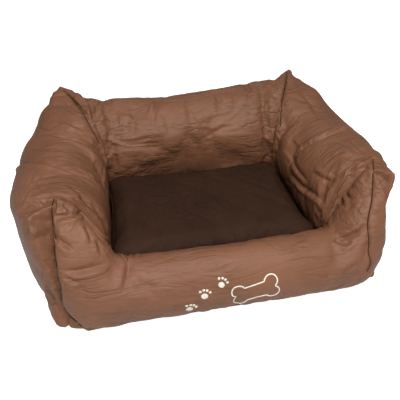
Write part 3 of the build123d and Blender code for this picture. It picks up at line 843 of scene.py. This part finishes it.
fine_cloth = {"pitch": 0.0003, "streak": (300, 300, 300)}
thread_shades = ((0.09, 0.04, 0.022), (0.13, 0.06, 0.033))
# These dark shades are painted shadow in the corner seams, and the real colour of the cushion's dark stitches
seam_shadow_and_thread_shades = ((0.05, 0.022, 0.012), (0.07, 0.03, 0.017))
thread = cloth_look("thread", *thread_shades, **fine_cloth, roughness=0.6, sheen=0.1)
seam_shadow_and_dark_thread = cloth_look("seam_shadow_and_dark_thread", *seam_shadow_and_thread_shades, **fine_cloth, roughness=0.7, sheen=0.0, shine=0.1)
ridge_pixels = {
    "left": ((81.5, 213.3), (94.3, 228), (107, 242), (119.8, 254.7), (127.4, 262.4)),
    "right": (
        (371.5, 155.7),
        (359.4, 162),
        (350.5, 168.4),
        (344, 177.3),
        (337.8, 187.5),
        (333.9, 197.8),
        (326.3, 213),
        (318.6, 229.6),
    ),
}
corner_pixels = {
    "left_front": (
        (54, 199),
        (51.6, 207.6),
        (52.8, 222.9),
        (56, 236.9),
        (54, 249.6),
        (56.7, 263.7),
        (58.6, 279),
        (60.5, 288.4),
        (62.4, 303.7),
        (70, 316),
        (84, 328),
    ),
    "right_front": (
        (372.8, 159),
        (373.5, 168.4),
        (372.8, 175),
        (372, 200),
        (367, 223),
        (369, 240),
        (368, 252),
        (371, 262),
        (366, 273),
    ),
    "left_back": ((63, 90), (71.3, 97.9), (81.5, 110.6), (87.9, 122), (94.3, 133.6), (99.4, 145)),
    "right_back": ((287, 72), (285, 86), (282, 100), (281, 114), (280, 128)),
}
seam_step = 0.004
flange_wide = 0.0062
flange_thick = 0.0026
flange_lift = 0.0012
flange_stitches = 0.0017
flange_stitch_lift = 0.0014
seam_wide = 0.0024
seam_thick = 0.0012
seam_lift = 0.0001
seam_stitches = 0.004
seam_stitch_lift = 0.0004
below_ridge = (0, -0.009, -0.003)
wing_covers = (front, arms["left_arm"], arms["right_arm"])
all_covers = (*wing_covers, bolster)
tree = surface(*all_covers)
for name, pixels in ridge_pixels.items():
    line = seen(tree, pixels)
    for cover in wing_covers:
        fold(cover, line, depth=-0.003, width=0.004)
        fold(cover, line + below_ridge, depth=0.004, width=0.0035)
    tree = surface(*all_covers)
    line, ways = laid(tree, even(line, seam_step), flange_lift)
    flange = [(line, ways, flange_wide, flange_thick, False)]
    strips(name + "_ridge_flange", flange, long_nylon, "bed")
    lifted = line + ways * flange_stitch_lift
    rows_of_thread = stitches(lifted, ways, flange_stitches) + stitches(lifted, ways, -flange_stitches)
    strips(name + "_ridge_stitches", rows_of_thread, thread, "bed")
for name, pixels in corner_pixels.items():
    line = seen(tree, pixels)
    for cover in all_covers:
        fold(cover, line, depth=0.003, width=0.004)
tree = surface(*all_covers)
for name, pixels in corner_pixels.items():
    line, ways = laid(tree, even(seen(tree, pixels), seam_step), seam_lift)
    # The dark strip in each corner seam is painted shadow
    strips(name + "_seam", [(line, ways, seam_wide, seam_thick, False)], seam_shadow_and_dark_thread, "bed")
    lifted = line + ways * seam_stitch_lift
    rows_of_thread = stitches(lifted, ways, seam_stitches) + stitches(lifted, ways, -seam_stitches)
    strips(name + "_stitches", rows_of_thread, thread, "bed")


# The print on the front: a plain bone in outline and a trail of three small paws, in cream ink that lies on
# the cloth as slightly raised lines
def arc(middle, radius, start, end, steps):
    """Points on an arc, in degrees, anticlockwise when the end is larger."""
    turns = np.radians(np.linspace(start, end, steps))
    return np.array(middle) + radius * np.stack([np.cos(turns), np.sin(turns)], 1)


def on_front(shape, middle, lean):
    """A flat shape, turned by lean degrees about its middle and laid on the front of the bed."""
    turn = math.radians(lean)
    spun = shape @ np.array([[math.cos(turn), math.sin(turn)], [-math.sin(turn), math.cos(turn)]])
    hits = []
    for x, z in spun:
        start = Vector((middle[0] + x, -0.6, middle[1] + z))
        hits.append(front_tree.ray_cast(start, Vector((0, 1, 0))))
    ways = np.array([hit[1] for hit in hits])
    for _ in range(3):
        ways = (np.roll(ways, 1, 0) + 2 * ways + np.roll(ways, -1, 0)) / 4
    ways /= np.linalg.norm(ways, axis=1, keepdims=True)
    return np.array([hit[0] for hit in hits]) + ways * ink_lift, ways


cream_shades = ((0.72, 0.69, 0.62), (0.8, 0.77, 0.7))
cream = cloth_look(
    "cream_print", *cream_shades, pitch=0.0007, streak=(34, 12, 12), roughness=0.55, sheen=0.0
)
front_tree = surface(front)
ink = 0.0008
ink_lift = 0.0002
bone_line = 0.0023
bone_points = 150
knob = 0.0125
knob_level = 0.0115
shaft = 0.030
bone = np.concatenate(
    [
        arc((shaft, knob_level), knob, 160, -55, 16),
        arc((shaft, -knob_level), knob, 55, -160, 16),
        arc((-shaft, -knob_level), knob, -20, -235, 16),
        arc((-shaft, knob_level), knob, 235, 20, 16),
    ]
)
bone = spaced(np.vstack([bone, bone[:1]]), bone_points)[:-1]
line, ways = on_front(bone, middle=(0.036, 0.071), lean=12)
runs = [(line, ways, bone_line, ink, True)]
paws = (
    ((-0.082, 0.054), -25, 1.5),
    ((-0.056, 0.082), -10, 1.4),
    ((-0.024, 0.098), -30, 1.3),
)
for middle, lean, size in paws:
    pad = arc((0, -0.003 * size), 0.0019 * size, 0, 345, 12) * (1.3, 1.0)
    line, ways = on_front(pad, middle, lean)
    runs.append((line, ways, 0.004 * size, ink, True))
    for toe in (-1.5, -0.5, 0.5, 1.5):
        spot = (toe * 0.0042 * size, (0.0052 - 0.0011 * toe * toe) * size)
        line, ways = on_front(arc(spot, 0.0008 * size, 0, 330, 8), middle, lean)
        runs.append((line, ways, 0.0020 * size, ink, True))
strips("front_print", runs, cream, "bed")


# The loose cushion: the same cloth round a flat filling, its colour darkened all over as painted shade. A
# piped and stitched seam joins its border to its top, and another to its bottom. Behind, its zip lies in a
# flat place with a sunk slit.
def rounded_loop(wide, tall, radius, step):
    """A closed loop round a rectangle with round corners, as rows of two."""
    out = wide / 2 - radius
    up = tall / 2 - radius
    loop = np.concatenate(
        [
            arc((out, up), radius, 0, 90, 8),
            arc((-out, up), radius, 90, 180, 8),
            arc((-out, -up), radius, 180, 270, 8),
            arc((out, -up), radius, 270, 360, 8),
        ]
    )
    loop = np.vstack([loop, loop[:1]])
    return spaced(loop, int(lengths(loop)[-1] / step))[:-1]


# Painted shade: the bolsters' brown darkened to about a sixth, for the cushion, its piping and its zip frame
cushion_painted_shade_colours = ((0.026, 0.0115, 0.006), (0.035, 0.0155, 0.0085))
cushion_finish = {"pitch": 0.0007, "streak": (20, 14, 20), "roughness": 0.7, "sheen": 0.0, "shine": 0.12}
cushion_painted_shade_cloth = cloth_look("cushion_nylon_painted_shade", *cushion_painted_shade_colours, **cushion_finish)
cushion_zip_level = 0.035
cushion_middle = 0.036
cushion_gap = 0.0014
piping_wide = 0.003
piping_thick = 0.0026
piping_stitches = 0.0034
cushion_grabs = (
    ((0.2, 0.1, 0.06), (0.006, 0.004, 0.002), 0.05),
    ((-0.2, 0.1, 0.06), (-0.006, 0.004, 0.002), 0.05),
    ((0.2, -0.17, 0.06), (0.006, -0.004, 0.002), 0.05),
    ((-0.2, -0.17, 0.06), (-0.006, -0.004, 0.002), 0.05),
)
cushion, rows = cover_of("cushion_filling", "cushion", cushion_gap)
in_frame = outside(rows, half_wide=0.142, half_tall=0.014, level=cushion_zip_level) < 0
held = (in_frame & (rows[:, 1] > 0.06)).astype(float)
put(cushion, grabbed(rows, cushion_grabs))
blow_up(cushion, held, pressure=2, spare=0.04, cap=0.006)
subdivide(cushion)
rows = points(cushion)
pucker(cushion, rows[:, 0] + rows[:, 1], rows[:, 2], pitch=0.06, depth=0.003, seed=4.4)
flatten(
    cushion,
    cushion_zip_level,
    half_wide=0.134,
    blend=0.01,
    rear_from=0.06,
    cloth_y=0.1044,
    slit_y=0.1005,
)
grounded(cushion, level=0.0025)
tree = surface(cushion)
around = rounded_loop(wide=0.432, tall=0.308, radius=0.03, step=0.006)
for name, level in (("lower", 0.0145), ("upper", 0.0575)):
    ring = np.column_stack([around[:, 0], around[:, 1] - cushion_middle, np.full(len(around), level)])
    line, ways = laid(tree, ring)
    piping = [(line, ways, piping_wide, piping_thick, True)]
    strips("cushion_" + name + "_piping", piping, cushion_painted_shade_cloth, "cushion")
    threads = stitches(line, ways, piping_stitches) + stitches(line, ways, -piping_stitches)
    strips("cushion_" + name + "_stitches", threads, seam_shadow_and_dark_thread, "cushion")
cushion.data.materials.append(cushion_painted_shade_cloth)
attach(cushion, "cushion")
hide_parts("cushion_top", "cushion_border", "cushion_bottom")


# The two zips: a stitched cloth frame round each slit, woven brown tapes, moulded brown teeth and stops, and
# a slider and a pull of dark bronze metal
def hard_look(name, dark, light, metallic, roughness, scale, stretch):
    """A moulded or brushed surface: two shades, fine marks that run one way, and a satin shine."""
    look, tree, shader = new_look(name)
    place = add_node(tree, "TexCoord", {}).outputs["Object"]
    drawn = add_node(tree, "Mapping", {"Vector": place, "Scale": stretch}).outputs["Vector"]
    marks = add_node(tree, "TexNoise", {"Vector": drawn, "Scale": scale, "Detail": 4}).outputs["Fac"]
    gloss = {"Value": marks, "To Min": roughness - 0.08, "To Max": roughness + 0.1}
    rough = add_node(tree, "MapRange", gloss).outputs["Result"]
    bump = add_node(tree, "Bump", {"Height": marks, "Strength": 0.25, "Distance": 0.0001})
    feed(tree, shader, {"Base Color": shades(tree, marks, dark, light), "Metallic": metallic})
    feed(tree, shader, {"Roughness": rough, "Normal": bump.outputs["Normal"]})
    return look


frame_wide = 0.006
frame_thick = 0.0013
frame_stitch_lift = 0.0008
frame_loop = rounded_loop(wide=0.266, tall=0.020, radius=0.004, step=0.003)
for name, plane_y, level, look, body in (
    ("back", 0.2934, back_zip_level, long_nylon, "bed"),
    ("cushion", 0.1054, cushion_zip_level, cushion_painted_shade_cloth, "cushion"),
):
    ring = np.column_stack([frame_loop[:, 0], np.full(len(frame_loop), plane_y), frame_loop[:, 1] + level])
    out_ways = np.tile((0.0, 1.0, 0.0), (len(ring), 1))
    border = [(ring, out_ways, frame_wide, frame_thick, True)]
    strips(name + "_zip_frame", border, look, body)
    lifted = ring + out_ways * frame_stitch_lift
    threads = stitches(lifted, out_ways, aside=0.0, length=0.0022, pitch=0.0034)
    strips(name + "_zip_frame_stitches", threads, thread, body)
tape_shades = ((0.05, 0.026, 0.016), (0.07, 0.037, 0.023))
tape_look = cloth_look(
    "zip_tape", *tape_shades, pitch=0.0006, streak=(30, 30, 30), roughness=0.75, sheen=0.15
)
plastic_shades = ((0.05, 0.028, 0.02), (0.085, 0.05, 0.035))
plastic_look = hard_look(
    "zip_plastic", *plastic_shades, metallic=0.0, roughness=0.42, scale=900, stretch=(1, 1, 1)
)
metal_shades = ((0.24, 0.2, 0.16), (0.36, 0.31, 0.26))
metal_look = hard_look(
    "zip_metal", *metal_shades, metallic=1.0, roughness=0.34, scale=700, stretch=(0.15, 1, 1)
)
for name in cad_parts:
    if "_zip_tape_" in name:
        dress(name, tape_look)
    elif name.endswith("_zip_slider") or name.endswith("_zip_pull"):
        dress(name, metal_look)
    elif "_zip_" in name:
        dress(name, plastic_look)
